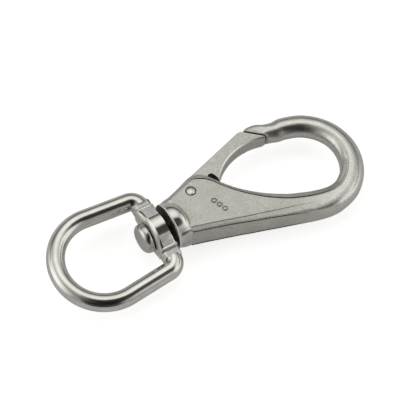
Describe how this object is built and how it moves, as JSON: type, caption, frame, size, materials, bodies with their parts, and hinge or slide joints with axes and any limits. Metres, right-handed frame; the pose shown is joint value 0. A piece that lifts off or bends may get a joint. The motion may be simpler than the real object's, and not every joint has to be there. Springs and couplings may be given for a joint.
{
  "type": "swivel eye snap hook",
  "caption": "Stainless swivel-eye boat snap: a cast hook closed by a sprung lever gate, on a free-turning eye.",
  "frame": {"origin": "centre of the round end of the swivel eye, on the swivel axis and on the mid plane of the flat hook", "axes": "+X runs along the swivel axis from the eye to the hook, +Y points to the gate side, +Z is square to the flat hook"},
  "size_m": [0.1149, 0.0427, 0.0162],
  "materials": {
    "cast_steel": "tumbled satin stainless steel with polished edges",
    "pin_steel": "satin stainless rivet head",
    "polished_steel": "polished stainless steel",
    "spring_steel": "drawn stainless wire"
  },
  "bodies": {
    "hook": {"hook_body": "cast_steel", "gate_rivet": "pin_steel", "swivel_stud": "polished_steel", "gate_spring": "spring_steel"},
    "gate": {"gate": "cast_steel"},
    "eye": {"swivel_eye": "polished_steel"}
  },
  "joints": [
    {"name": "gate_hinge", "type": "hinge", "parent": "hook", "child": "gate", "pos_m": [0.0368, 0.0058, 0], "axis": [0, 0, -1], "range_deg": [0, 30], "stiffness_Nm_per_rad": 0.25, "springref_deg": -28.65, "deforming": ["gate_spring"]},
    {"name": "eye_swivel", "type": "hinge", "parent": "hook", "child": "eye", "pos_m": [0.0204, 0, 0], "axis": [1, 0, 0], "continuous": true}
  ]
}
